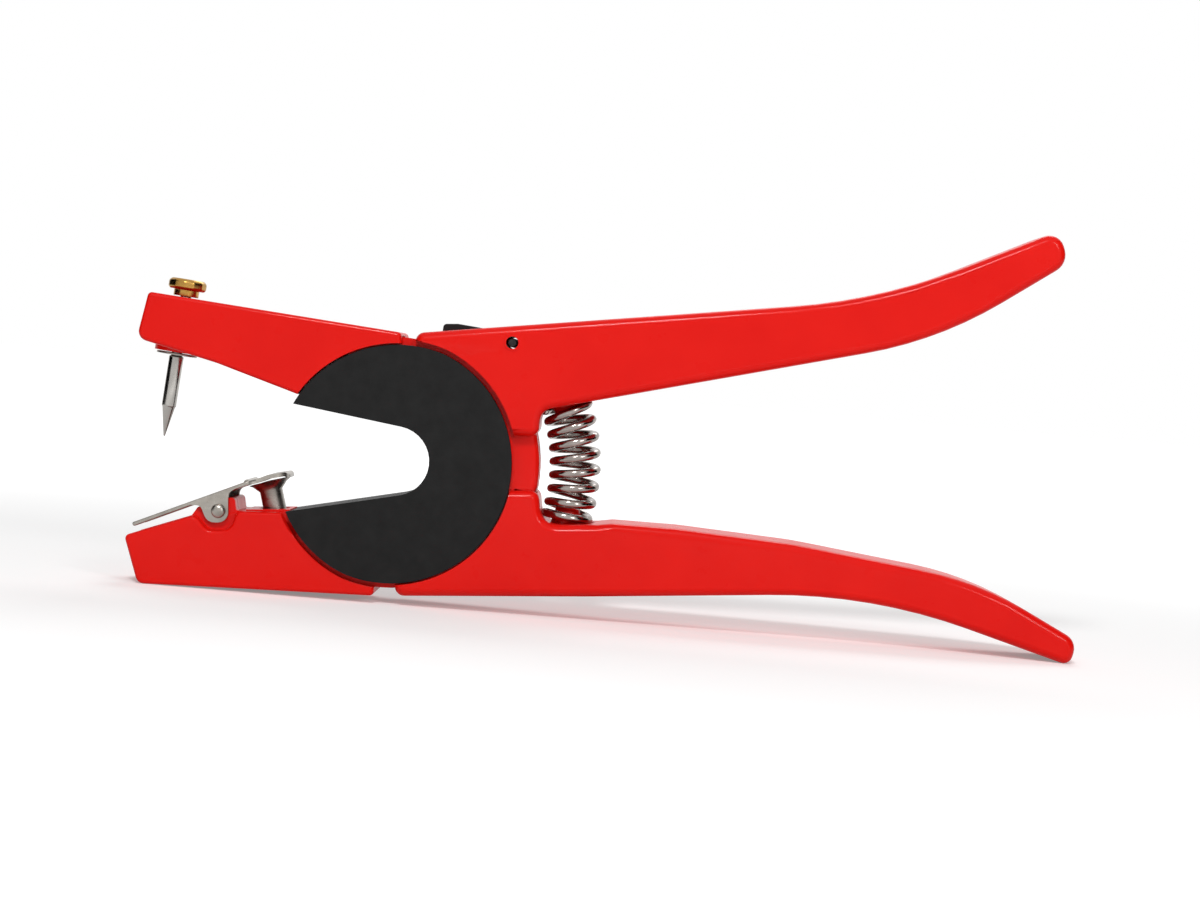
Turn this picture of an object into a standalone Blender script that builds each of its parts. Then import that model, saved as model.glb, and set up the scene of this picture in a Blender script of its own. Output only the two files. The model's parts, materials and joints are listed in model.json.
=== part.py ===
"""Ear tag applicator: hand pliers that push a tag's pin through an ear.

Metres, +Z up. The pliers stand on the lower jaw's front corner and the lower
handle's tip, jaws towards -X, and open at rest. Two castings cross at a
hollow hub round the throat, where the ear goes. Every outline lies in the
XZ plane of the tool frame, whose origin is the hub's centre.
"""
import math

import bmesh
import bpy
from mathutils import Vector

# General
clearance = 0.0003
overrun = 0.002
chord_tolerance = 0.00004
point_grid = 0.0000001
facet_angle = math.radians(24)
body_thickness = 0.022

# Hub: a drum between two flanged plates, with the castings' webs round it
disc_radius = 0.0320
disc_shift_x = 0.0017
disc_shift_z = -0.0008
plate_thickness = 0.00275
plate_recess = 0.0006
drum_radius = 0.0230
upper_pocket_gap = 0.0004
lower_pocket_gap = 0.0014
web_start = math.radians(237.2)
web_end = math.radians(478)
fixed_web_start = math.radians(217)
fixed_web_end = math.radians(472)
tongue_width = 0.0058
tongue_end = math.radians(12)
tongue_root = math.radians(17)
tongue_rounding = 0.0018
level_step = 0.00003
hub_segments = 96
close_angle = math.radians(18)
swing_margin = math.radians(2)
key_width = 0.005
key_height = 0.0023
key_angle = math.radians(300)

# Throat: a round end with two straight lips that open towards the jaws
throat_radius = 0.0092
throat_centre_x = 0.0010
throat_centre_z = 0.0005
throat_upper_flare = math.radians(12.1)
throat_lower_flare = math.radians(8.15)
throat_wall = 0.0022

# Throat screws, put in from the rear
screw_circle_radius = 0.0165
screw_angles = [math.radians(a) for a in (0, 60, 110, 250, 300)]
screw_shank_radius = 0.0014
screw_head_radius = 0.0026
screw_head_height = 0.0015
screw_depth = 0.0045
screw_socket_radius = 0.0011
screw_socket_depth = 0.0008

# Castings' outlines: reaches from the hub's centre, and rounded edges
jaw_reach = 0.0694
handle_reach = 0.1810
handle_rise = 0.0611
handle_drop = 0.0533
hub_half_height = 0.0344
jaw_rounding = 0.0010
handle_rounding = 0.0022
rounding_steps = 4
upper_jaw_lift = 0.0448

# Outline tables: x share, z share, and the corner's radius as a share of handle_rounding
upper_jaw_shares = (
    (0.043, 0.768, 0.5), (-0.919, 1.010, 0.52), (-0.966, 0.737, 1.19),
    (-0.664, 0.590, 9.6), (-0.350, 0.402, 0.48), (-0.250, 0.330, 0.5), (0.043, 0.600, 0.5),
)
upper_handle_shares = (
    (0.0365, 0.5617, 1.1), (0.7137, 0.7028, 70.0), (0.9744, 1.0026, 2.2), (0.9880, 0.8600, 2.2),
    (0.7997, 0.5277, 52.0), (0.2194, 0.2268, 1.6), (0.2160, 0.1150, 1.1), (0.1200, 0.1150, 1.1),
    (0.0365, 0.3800, 1.1),
)
lower_handle_shares = (
    (0.0050, -0.6636, 1.1), (0.0050, -0.4200, 1.1), (0.1200, -0.1390, 1.1), (0.2160, -0.1390, 1.1),
    (0.2200, -0.3090, 2.0), (0.3030, -0.3090, 1.1), (0.3240, -0.3020, 1.1), (0.4200, -0.3283, 40.0),
    (0.5917, -0.4056, 40.0), (0.8566, -0.5866, 46.0), (1.0045, -0.8873, 1.9), (0.9928, -1.0107, 1.1),
    (0.7030, -0.6541, 69.0), (0.2827, -0.6669, 60.0),
)
lower_jaw_shares = (
    (-1.0187, -0.558, 0.57), (-0.9696, -0.929, 0.95), (-0.068, -1.025, 0.5), (-0.058, -0.800, 0.5),
    (-0.330, -0.384, 0.5), (-0.422, -0.384, 0.5), (-0.588, -0.371, 0.75), (-0.612, -0.520, 1.5),
    (-0.702, -0.520, 1.5), (-0.749, -0.401, 0.95),
)
jaw_core_shares = (
    (-1.010, -0.572, 0.3), (-0.960, -0.880, 0.3), (-0.300, -0.900, 0.3), (-0.420, -0.384, 0.3),
    (-0.594, -0.371, 0.2), (-0.600, -0.265, 0.5), (-0.690, -0.300, 0.7), (-0.742, -0.345, 0.3),
    (-0.765, -0.407, 0.3),
)
jaw_core_half_width = 0.0082
well_block_shares = (
    (-0.560, -0.365), (-0.392, -0.365), (-0.392, -0.442), (-0.281, -0.480), (-0.252, -0.538),
    (-0.317, -0.741), (-0.560, -0.870),
)

# Tag slot in the lower jaw
tag_slot_width = 0.0124
tag_slot_centre_share = -0.844
tag_slot_floor = 0.0062

# Applicator pin, its washer, boss and lock nut
pin_radius = 0.00195
pin_shank_radius = 0.0015
pin_reach = 0.0221
pin_point_length = 0.0080
pin_point_radius = 0.00175
pin_point_tip_radius = 0.00025
pin_foot_shares = (-0.8415, 0.6384)
washer_radius = 0.00535
washer_thickness = 0.0005
boss_radius = 0.0060
boss_height = 0.0040
nut_head_radius = 0.0051
nut_head_height = 0.0029
nut_collar_radius = 0.00335
nut_collar_height = 0.0020
nut_chamfer = 0.0006
nut_wall_over_pin = 0.0009
nut_sides = 12

# Tag clip on the lower jaw
rivet_shares = (-0.660, -0.372)
rivet_radius = 0.0010
rivet_head_radius = 0.00187
rivet_head_height = 0.0010
clip_half_width = 0.0096
clip_metal = 0.0011
clip_lift = 0.0043
clip_opening_angle = math.radians(3.6)
clip_front_share = 0.327
clip_rear_share = 0.134
clip_slot_width = 0.0090
clip_slot_length = 0.0175
clip_bend_radius = 0.0012
clip_step_run = 0.0064
clip_step_rise = 0.0012
clip_step_length = 0.0014
thumb_length = 0.00435
thumb_slope = math.radians(8.6)
thumb_curl = 0.0012
thumb_curl_slope = math.radians(-50)
thumb_half_width = 0.0080
ear_shares = (
    (-2.75, 0.56, 0.0), (-1.62, 0.50, 0.50), (-1.02, -1.06, 1.0), (0.90, -1.06, 1.0),
    (0.90, 1.60, 0.55), (1.80, 2.20, 0.0),
)
ear_radius = 0.0029
bead_radius = 0.0008
bead_share = 0.80
clip_end_share = 0.45
clip_edge_share = 0.30
thumb_corner_share = 0.5

# Post under the thumb tab, with the clip's spring inside
post_radius = 0.00305
post_wall = 0.0005
post_roof = 0.0018
post_seat_gap = 0.0004
post_flare_radius = 0.0062
post_flare_height = 0.0026
post_waist_share = 0.35
post_lean = math.radians(11.4)
post_top_share = -0.4856
post_length = 0.0092
well_share = -0.464
well_radius = 0.0042
well_depth = 0.0055
clip_spring_radius = 0.0019
clip_spring_wire = 0.0006
clip_spring_turns = 7

# Return spring between the handles
spring_gap = 0.0024
spring_outer_radius = 0.0070
spring_wire = 0.00235
spring_turns = 8
spring_phase_share = 0.5
spring_end_pitch = 0.0033
spring_end_turns = 0.75
seat_angle = math.radians(20.3)
seat_radius = 0.0076
seat_peg_radius = 0.0036
seat_peg_height = 0.0030
points_per_turn = 10

# Latch on the upper handle
latch_pivot_x = 0.03225
latch_pivot_z = 0.0317
latch_width = 0.0050
latch_pin_radius = 0.0012
latch_hole_radius = 0.00165
latch_rim_radius = 0.0021
latch_rim_height = 0.0003
latch_pin_recess = 0.0006
latch_press_angle = math.radians(5)
latch_tooth_depth = 0.0014
latch_reach = 0.0190
latch_shares = (
    (-1.000, 0.170, 0.05), (-0.985, 0.272, 0.05), (-0.780, 0.272, 0.04), (-0.200, 0.170, 0.05),
    (0.090, 0.165, 0.10), (0.160, 0.030, 0.10), (0.110, -0.130, 0.10), (-0.120, -0.160, 0.10),
    (-0.560, -0.020, 0.10), (-0.790, 0.010, 0.03), (-0.810, -0.060, 0.02), (-0.950, -0.060, 0.02),
)
latch_spring_share = -0.40
latch_spring_radius = 0.0016
latch_spring_wire = 0.0004
latch_spring_turns = 2.5
latch_spring_well_radius = 0.0022

# Worked out from the sizes above
half_thickness = body_thickness / 2
plate_outer_y = half_thickness - plate_recess
plate_inner_y = plate_outer_y - plate_thickness
web_outer_y = plate_inner_y - clearance
web_inner_y = clearance / 2
web_inner_radius = drum_radius + clearance
web_outer_radius = disc_radius + lower_pocket_gap
tongue_radius = web_outer_radius + tongue_width
groove_radius = web_outer_radius + clearance
spring_path_radius = tongue_radius + spring_gap + spring_outer_radius
groove_end = tongue_end + close_angle + swing_margin
pin_foot_x = pin_foot_shares[0] * jaw_reach
pin_foot_z = pin_foot_shares[1] * upper_jaw_lift
rivet_x = rivet_shares[0] * jaw_reach
rivet_z = rivet_shares[1] * hub_half_height
tag_slot_centre_x = tag_slot_centre_share * jaw_reach
post_top_x = post_top_share * jaw_reach
well_x = well_share * jaw_reach
jaw_front_rise = (lower_jaw_shares[-1][1] - lower_jaw_shares[0][1]) * hub_half_height
jaw_front_run = (lower_jaw_shares[-1][0] - lower_jaw_shares[0][0]) * jaw_reach
clip_slope = math.atan2(jaw_front_rise, jaw_front_run) + clip_opening_angle


def rotated(x, z, angle):
    """Turn a point in the XZ plane, positive from +X towards +Z."""
    c, s = math.cos(angle), math.sin(angle)
    return x * c - z * s, x * s + z * c


def arc_points(cx, cz, radius, start, end):
    """Points along an arc, close enough that no chord leaves it by more than the tolerance."""
    if radius <= 0:
        return [(cx, cz)]
    step = 2 * math.acos(max(1 - chord_tolerance / radius, 0.9))
    count = max(2, math.ceil(abs(end - start) / min(step, facet_angle)))
    angles = [start + (end - start) * i / count for i in range(count + 1)]
    return [(cx + radius * math.cos(a), cz + radius * math.sin(a)) for a in angles]


def rounded_outline(corners):
    """Replace each corner (x, z, radius) of a closed polygon by an arc that meets both sides."""
    points = []
    for i, (x, z, radius) in enumerate(corners):
        here = Vector((x, z))
        back = (Vector(corners[i - 1][:2]) - here)
        ahead = (Vector(corners[(i + 1) % len(corners)][:2]) - here)
        opening = back.angle(ahead)
        reach = 0.49 * min(back.length, ahead.length)
        radius = min(radius, reach * math.tan(opening / 2))
        if radius <= clearance / 10 or opening > math.radians(179):
            points.append((x, z))
            continue
        back.normalize()
        ahead.normalize()
        centre = here + (back + ahead).normalized() * (radius / math.sin(opening / 2))
        foot = radius / math.tan(opening / 2)
        first = here + back * foot - centre
        last = here + ahead * foot - centre
        start = math.atan2(first.y, first.x)
        sweep = math.remainder(math.atan2(last.y, last.x) - start, math.tau)
        points += arc_points(centre.x, centre.y, radius, start, start + sweep)
    return points


def outline_from_shares(shares, length, height, radius):
    """Corners given as shares of a length, a height and a corner radius."""
    return rounded_outline([(x * length, z * height, r * radius) for x, z, r in shares])


def signed_area(points):
    pairs = zip(points, points[1:] + points[:1])
    return sum(a[0] * b[1] - b[0] * a[1] for a, b in pairs) / 2


def inset_outline(points, distance):
    """Move every side of an outline inwards, or outwards where the distance is negative."""
    sign = 1 if signed_area(points) > 0 else -1
    moved = []
    for i, point in enumerate(points):
        here = Vector(point)
        before = (here - Vector(points[i - 1])).normalized()
        after = (Vector(points[(i + 1) % len(points)]) - here).normalized()
        n1 = Vector((-before.y, before.x)) * sign
        n2 = Vector((-after.y, after.x)) * sign
        step = (n1 + n2) / max(1 + n1.dot(n2), 0.3)
        moved.append(tuple(here + step * distance))
    return moved


def new_object(name, bm, parent, mat=None, smooth=True):
    """Finish a bmesh as a named object in its parent's frame, its points on a fine grid."""
    for vert in bm.verts:
        vert.co = [round(c / point_grid) * point_grid for c in vert.co]
    bmesh.ops.recalc_face_normals(bm, faces=bm.faces)
    mesh = bpy.data.meshes.new(name)
    bm.to_mesh(mesh)
    bm.free()
    if smooth:
        mesh.shade_smooth()
        mesh.set_sharp_from_angle(angle=math.radians(32))
    obj = bpy.data.objects.new(name, mesh)
    bpy.context.scene.collection.objects.link(obj)
    obj.parent = parent
    if parent is not None:
        obj.location = -parent.location if parent.get("axis") else Vector()
    if mat is not None:
        mesh.materials.append(mat)
    return obj


def bridged(bm, loops, closed_ends=True):
    """Join rings of equal length into a skin, with a flat face at each end."""
    rings = [[bm.verts.new(p) for p in loop] for loop in loops]
    for low, high in zip(rings, rings[1:]):
        for i in range(len(low)):
            bm.faces.new((low[i - 1], low[i], high[i], high[i - 1]))
    if closed_ends:
        bm.faces.new(rings[0])
        bm.faces.new(rings[-1])


def prism(name, points, y_low, y_high, parent, mat=None, rounding=0.0):
    """A flat outline carried across Y, with both faces' edges rounded."""
    bm = bmesh.new()
    steps = rounding_steps if rounding else 0
    turns = [math.radians(90) * k / steps for k in range(steps + 1)] if steps else [0.0]
    insets = [rounding * (1 - math.cos(t)) for t in turns]
    drops = [rounding * (1 - math.sin(t)) for t in turns]
    loops = []
    for inset, drop in reversed(list(zip(insets, drops))):
        loops.append([(x, y_low + drop, z) for x, z in inset_outline(points, inset)])
    for inset, drop in zip(insets, drops):
        loops.append([(x, y_high - drop, z) for x, z in inset_outline(points, inset)])
    bridged(bm, loops)
    return new_object(name, bm, parent, mat)


def sector(name, section, start, end, parent, mat=None, segments=hub_segments):
    """Spin a closed (radius, y) section about the hub's axis, through part of a turn."""
    bm = bmesh.new()
    ring = [bm.verts.new((r * math.cos(start), y, r * math.sin(start))) for r, y in section]
    face = bm.faces.new(ring)
    steps = max(2, round(abs(end - start) / math.tau * segments))
    bmesh.ops.spin(bm, geom=[face], cent=(0, 0, 0), axis=(0, -1, 0), angle=end - start,
                   steps=steps, use_duplicate=False)
    return new_object(name, bm, parent, mat)


def turned(name, profile, parent, mat=None, segments=24):
    """Spin an open (radius, height) profile a full turn about Z; its ends lie on the axis."""
    bm = bmesh.new()
    verts = [bm.verts.new((r, 0, h)) for r, h in profile]
    edges = [bm.edges.new(pair) for pair in zip(verts, verts[1:])]
    bmesh.ops.spin(bm, geom=edges + verts, cent=(0, 0, 0), axis=(0, 0, 1), angle=math.tau,
                   steps=segments, use_duplicate=False)
    bmesh.ops.remove_doubles(bm, verts=bm.verts, dist=clearance / 100)
    hubs = [v for v in bm.verts if Vector(v.co[:2]).length < point_grid and flat_around(v)]
    bmesh.ops.dissolve_verts(bm, verts=hubs)
    return new_object(name, bm, parent, mat)


def flat_around(vert):
    """Whether a point's neighbours all lie at its own height."""
    return all(abs(e.other_vert(vert).co.z - vert.co.z) < point_grid for e in vert.link_edges)


def pipe_profile(inner, outer, low, high):
    """The section of a tube, as a closed run of (radius, height) points."""
    return [(inner, low), (outer, low), (outer, high), (inner, high), (inner, low)]


def rod(name, radius, low, high, parent, mat=None, segments=24):
    """A plain round bar about Z."""
    profile = [(0, low), (radius, low), (radius, high), (0, high)]
    return turned(name, profile, parent, mat, segments)


def along_y(obj, x, z):
    """Lay an object that was turned about Z along Y, at a point of the tool frame."""
    offset = obj.parent.location if obj.parent.get("axis") else Vector()
    obj.rotation_euler = (math.radians(-90), 0, 0)
    obj.location = Vector((x, 0, z)) - offset
    return obj


def leaned(obj, x, z, lean):
    """Stand an object at a point of the tool frame, its top leaning towards +X."""
    offset = obj.parent.location if obj.parent.get("axis") else Vector()
    obj.rotation_euler = (0, lean, 0)
    obj.location = Vector((x, 0, z)) - offset
    return obj


def use(obj, tools, operation):
    """Add, cut or keep the space of other solids in one step; they stay as hidden guides."""
    group = bpy.data.collections.new(tools[0].name + "_group")
    for tool in tools:
        tool.hide_render = True
        tool.display_type = "WIRE"
        group.objects.link(tool)
    modifier = obj.modifiers.new(group.name, "BOOLEAN")
    modifier.operation = operation
    modifier.solver = "EXACT"
    modifier.operand_type = "COLLECTION"
    modifier.collection = group


def join(obj, *tools):
    use(obj, tools, "UNION")


def cut(obj, *tools):
    use(obj, tools, "DIFFERENCE")


def keep(obj, *tools):
    use(obj, tools, "INTERSECT")


def material(name, colour, roughness, metallic=0.0):
    """A plain Principled material, its colour in linear values."""
    made = bpy.data.materials.new(name)
    made.use_nodes = True
    shader = made.node_tree.nodes["Principled BSDF"]
    shader.inputs["Base Color"].default_value = (*colour, 1.0)
    shader.inputs["Roughness"].default_value = roughness
    shader.inputs["Metallic"].default_value = metallic
    return made


def pivot(name, x, z, parent):
    """An empty on a joint's axis, which runs along Y."""
    empty = bpy.data.objects.new(name, None)
    bpy.context.scene.collection.objects.link(empty)
    empty.parent = parent
    empty.location = (x, 0, z)
    empty["axis"] = True
    return empty


def disc_edge(name, gap, y_low, y_high, parent):
    """The hub disc's outline, pulled in towards the throat, grown by a gap."""
    whole = cylinder_y(name, disc_radius + gap, y_low, y_high, (0, 0), parent)
    shifted = cylinder_y(name + "_shifted", disc_radius + gap, y_low - overrun,
                         y_high + overrun, (disc_shift_x, disc_shift_z), parent)
    keep(whole, shifted)
    return whole


def cylinder_y(name, radius, y_low, y_high, centre, parent, mat=None):
    """A many sided bar along Y, for the hub."""
    section = [(centre[0] + radius * math.cos(a), centre[1] + radius * math.sin(a))
               for a in (math.tau * i / hub_segments for i in range(hub_segments))]
    return prism(name, section, y_low, y_high, parent, mat)


def hub_pocket(name, gap, own_side, start, end, parent):
    """What a casting leaves free: the plates' disc, and the other casting's web."""
    pocket = disc_edge(name, gap, -half_thickness - overrun, half_thickness + overrun, parent)
    near = own_side * (web_inner_y + 2 * level_step)
    far = -own_side * plate_inner_y
    section = [(0.5 * drum_radius, far), (groove_radius, far), (groove_radius, near),
               (0.5 * drum_radius, near)]
    groove = sector(name + "_groove", section, start, end, parent)
    return pocket, groove


def web_lap(name, own_side, start, end, parent):
    """Where a casting reaches in over its web's rim, so that the two are one."""
    near, far = web_inner_y + 4 * level_step, web_outer_y - 2 * level_step
    outer = web_outer_radius + overrun
    section = [(disc_radius, near), (outer, near), (outer, far), (disc_radius, far)]
    return sector(name, [(r, y * own_side) for r, y in section], start, end, parent)


def web_section(own_side):
    """A web's section on its own side of the parting plane."""
    near, far = web_inner_y * own_side, web_outer_y * own_side
    return [(web_inner_radius, near), (web_outer_radius, near), (web_outer_radius, far),
            (web_inner_radius, far)]


def tongue_section(own_side):
    """The section of a web's wide stretch, a step inside the web's levels, one edge rounded."""
    near, far = web_inner_y + level_step, web_outer_y - level_step
    inner = 0.5 * (disc_radius + web_outer_radius)
    corner = [(tongue_radius - tongue_rounding * (1 - math.cos(a)),
               far - tongue_rounding * (1 - math.sin(a)))
              for a in (math.radians(90) * k / 3 for k in range(4))]
    points = [(inner, near), (tongue_radius, near), *corner, (inner, far)]
    return [(r, y * own_side) for r, y in points]


def tongue_and_slot(name, own_side, parent):
    """The web's wide stretch between the handles' shoulders, and the slot for the other one's."""
    direction = -1 if own_side > 0 else 1
    tongue = sector(name + "_tongue", tongue_section(own_side), direction * tongue_root,
                    -direction * tongue_end, parent)
    near = own_side * (web_inner_y + 3 * level_step)
    far = -own_side * (plate_inner_y + level_step)
    inner = 0.5 * (drum_radius + disc_radius)
    outer = tongue_radius + clearance
    slot_section = [(inner, far), (outer, far), (outer, near), (inner, near)]
    slot = sector(name + "_slot", slot_section, direction * swing_margin,
                  direction * groove_end, parent)
    return tongue, slot


def spring_seat(name, side, parent):
    """A round seat for the return spring, square to its path, and the peg inside it."""
    x, z = rotated(spring_path_radius, 0, side * seat_angle)
    lean = -side * seat_angle
    bore = rod(name + "_bore", seat_radius, 0, side * 2 * seat_radius, parent, segments=36)
    leaned(bore, x, z, lean + math.pi)
    peg_high = side * (seat_peg_height + overrun)
    peg = turned(name + "_peg", [(0, -side * overrun), (seat_peg_radius, -side * overrun),
                                 (seat_peg_radius, 0.7 * peg_high),
                                 (0.75 * seat_peg_radius, peg_high), (0, peg_high)], parent)
    leaned(peg, x, z, lean + math.pi)
    return bore, peg


def coil_points(turns, pitch_at, radius, phase=0.0):
    """Points of a helix as (radius cosine, radius sine, height), with a pitch that may vary."""
    count = round(turns * points_per_turn)
    height = 0.0
    points = []
    for i in range(count + 1):
        turn = turns * i / count
        angle = math.tau * (turn + phase)
        points.append((radius * math.cos(angle), radius * math.sin(angle), height))
        height += pitch_at(turn) * turns / count
    return points


def wire_object(name, points, wire, parent, mat, resolution=1):
    """A round wire along a list of points, with closed ends."""
    curve = bpy.data.curves.new(name, "CURVE")
    curve.dimensions = "3D"
    spline = curve.splines.new("POLY")
    spline.points.add(len(points) - 1)
    for i, point in enumerate(points):
        spline.points[i].co = (*point, 1.0)
    curve.bevel_depth = wire / 2
    curve.bevel_resolution = resolution
    curve.use_fill_caps = True
    curve.materials.append(mat)
    obj = bpy.data.objects.new(name, curve)
    bpy.context.scene.collection.objects.link(obj)
    obj.parent = parent
    return obj


def least_self_gap(points, wire, turns):
    """The least space between a wire's neighbouring turns, measured on its points."""
    window = max(2, round(0.6 * len(points) / turns))
    best = min((Vector(a) - Vector(b)).length
               for i, a in enumerate(points) for b in points[i + window:])
    return best - wire


def make_return_spring(parent, mat):
    """A coil whose axis follows an arc about the hub, from one seat to the other."""
    coil_radius = spring_outer_radius - spring_wire / 2
    end_angle = seat_angle - (spring_wire / 2 + clearance) / spring_path_radius
    whole = 2 * end_angle * spring_path_radius
    ends = 2 * spring_end_turns * spring_end_pitch
    middle = (whole - ends) / (spring_turns - 2 * spring_end_turns)

    def pitch(turn):
        at_end = min(turn, spring_turns - turn) < spring_end_turns
        return spring_end_pitch if at_end else middle

    flat = coil_points(spring_turns, pitch, coil_radius, spring_phase_share)
    tallest = flat[-1][2]
    points = []
    for across, deep, height in flat:
        angle = end_angle * (2 * height / tallest - 1)
        x, z = rotated(spring_path_radius + across, 0, angle)
        points.append((x, deep, z))
    gap = least_self_gap(points, spring_wire, spring_turns)
    print("return spring: least self gap %.2f mm" % (gap * 1000))
    return wire_object("return_spring", points, spring_wire, parent, mat)


def straight_spring(name, start, end, turns, radius, wire, parent, mat):
    """A small coil from one point of the XZ plane to another."""
    low, high = Vector((start[0], 0, start[1])), Vector((end[0], 0, end[1]))
    axis = high - low
    side = axis.cross(Vector((0, 1, 0))).normalized()
    points = []
    for across, deep, height in coil_points(turns, lambda turn: 1 / turns, radius):
        points.append(tuple(low + axis * height + side * across + Vector((0, deep, 0))))
    gap = least_self_gap(points, wire, turns)
    print("%s: least self gap %.2f mm" % (name, gap * 1000))
    return wire_object(name, points, wire, parent, mat)


def pin_lean_angle():
    """The pin stands square to the upper jaw's top edge."""
    (rear_x, rear_z, _), (front_x, front_z, _) = upper_jaw_shares[:2]
    rise = (front_z - rear_z) * upper_jaw_lift
    run = (rear_x - front_x) * jaw_reach
    return math.atan2(rise, run)


def on_pin_axis(height):
    """A point on the pin's axis, at a height above the washer's lower face."""
    x, z = rotated(0, height, -pin_lean_angle())
    return pin_foot_x + x, pin_foot_z + z


def jaw_top_height():
    """Height of the upper jaw's top edge above the washer's lower face, along the pin."""
    front_x, front_z, _ = upper_jaw_shares[1]
    dx, dz = front_x * jaw_reach - pin_foot_x, front_z * upper_jaw_lift - pin_foot_z
    return rotated(dx, dz, pin_lean_angle())[1]


def make_moving_casting(parent, red):
    """Upper jaw and lower handle in one piece, joined by the rear web round the drum."""
    jaw = outline_from_shares(upper_jaw_shares, jaw_reach, upper_jaw_lift, handle_rounding)
    handle = outline_from_shares(lower_handle_shares, handle_reach, handle_drop, handle_rounding)
    body = prism("upper_jaw_casting", jaw, -half_thickness, half_thickness, parent, red,
                 jaw_rounding)
    lower = prism("lower_handle_form", handle, -half_thickness, half_thickness, parent, None,
                  handle_rounding)
    boss_low = washer_thickness + clearance
    boss = rod("pin_boss_form", boss_radius, boss_low, boss_low + boss_height, parent)
    leaned(boss, pin_foot_x, pin_foot_z, pin_lean_angle())
    pocket, groove = hub_pocket("moving_pocket", upper_pocket_gap, 1,
                                fixed_web_start - close_angle - swing_margin,
                                fixed_web_end + swing_margin, parent)
    web = sector("moving_web", web_section(1), web_start, web_end, parent)
    tongue, slot = tongue_and_slot("moving", 1, parent)
    bore, peg = spring_seat("lower_seat", -1, parent)
    pin_hole = rod("pin_hole", pin_shank_radius + clearance, -overrun, 2 * upper_jaw_lift, parent)
    leaned(pin_hole, pin_foot_x, pin_foot_z, pin_lean_angle())
    join(body, lower, boss)
    cut(body, pocket, groove, slot, bore, pin_hole)
    join(body, web, tongue, peg)
    cut(body, latch_notch("latch_notch_open", 0, parent),
        latch_notch("latch_notch_closed", -close_angle, parent))
    return body


def make_fixed_casting(parent, red):
    """Lower jaw and upper handle in one piece, joined by the front web round the drum."""
    jaw = outline_from_shares(lower_jaw_shares, jaw_reach, hub_half_height, handle_rounding)
    core = outline_from_shares(jaw_core_shares, jaw_reach, hub_half_height, handle_rounding)
    handle = outline_from_shares(upper_handle_shares, handle_reach, handle_rise, handle_rounding)
    block = [(x * jaw_reach, z * hub_half_height) for x, z in well_block_shares]
    body = prism("lower_jaw_casting", jaw, -half_thickness, half_thickness, parent, red,
                 jaw_rounding)
    upper = prism("upper_handle_form", handle, -half_thickness, half_thickness, parent, None,
                  handle_rounding)
    middle = prism("jaw_core_form", core, -jaw_core_half_width, jaw_core_half_width, parent)
    pocket, groove = hub_pocket("fixed_pocket", lower_pocket_gap, -1,
                                web_start - swing_margin,
                                web_end + close_angle + swing_margin, parent)
    cut(pocket, web_lap("fixed_web_lap", -1, fixed_web_start + swing_margin,
                        fixed_web_end - swing_margin, parent))
    web = sector("fixed_web", web_section(-1), fixed_web_start, fixed_web_end, parent)
    tongue, slot = tongue_and_slot("fixed", -1, parent)
    bore, peg = spring_seat("upper_seat", 1, parent)
    well_block = prism("well_block_form", block, clearance - web_outer_y,
                       web_outer_y - clearance, parent)
    well_top = well_block_shares[0][1] * hub_half_height
    well = rod("spring_well", well_radius, well_top - well_depth, well_top + overrun, parent,
               segments=32)
    leaned(well, well_x, 0, 0)
    rivet_hole = rod("rivet_hole", rivet_radius + clearance, -half_thickness, half_thickness,
                     parent, segments=16)
    along_y(rivet_hole, rivet_x, rivet_z)
    rim = rod("latch_rim", latch_rim_radius, -half_thickness - latch_rim_height,
              half_thickness + latch_rim_height, parent)
    along_y(rim, latch_pivot_x, latch_pivot_z)
    hole = rod("latch_pin_hole", latch_hole_radius, -body_thickness, body_thickness, parent)
    along_y(hole, latch_pivot_x, latch_pivot_z)
    join(body, middle, upper)
    cut(body, pocket, groove, slot, bore)
    join(body, web, tongue, peg, well_block, rim)
    cut(body, well, rivet_hole, hole, tag_slot(parent), latch_slot(parent),
        latch_spring_well(parent), key_solid("keyway", clearance, parent))
    return body


def tag_slot(parent):
    """The slot in the lower jaw that takes the tag's button: round inside, open at the front."""
    half = tag_slot_width / 2
    front_low = lower_jaw_shares[1][1] * hub_half_height + tag_slot_floor
    bm = bmesh.new()
    outline = arc_points(tag_slot_centre_x, 0, half, -math.radians(90), math.radians(90))
    front = -jaw_reach - overrun
    outline += [(front, half), (front, -half)]
    bridged(bm, [[(x, y, front_low) for x, y in outline], [(x, y, 0) for x, y in outline]])
    return new_object("tag_slot", bm, parent)


def key_solid(name, gap, parent):
    """The key that stops the drum turning in the lower jaw's casting."""
    half = key_width / 2 + gap
    low, high = drum_radius - key_height, drum_radius + key_height + gap
    corners = [rotated(r, t, key_angle) for r, t in ((low, -half), (high, -half),
                                                     (high, half), (low, half))]
    near = 2 * gap - clearance - web_inner_y
    return prism(name, corners, -plate_inner_y - clearance - gap, near, parent)


def throat_outline(wall):
    """A round end and two straight lips, grown by a wall's thickness."""
    radius = throat_radius + wall
    upper = math.radians(90) - throat_upper_flare
    lower = -math.radians(90) + throat_lower_flare
    points = arc_points(throat_centre_x, throat_centre_z, radius, lower, upper)
    run = 2 * disc_radius
    top = (points[-1][0] - run * math.cos(throat_upper_flare),
           points[-1][1] + run * math.sin(throat_upper_flare))
    bottom = (points[0][0] - run * math.cos(throat_lower_flare),
              points[0][1] - run * math.sin(throat_lower_flare))
    return points + [top, bottom]


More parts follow.
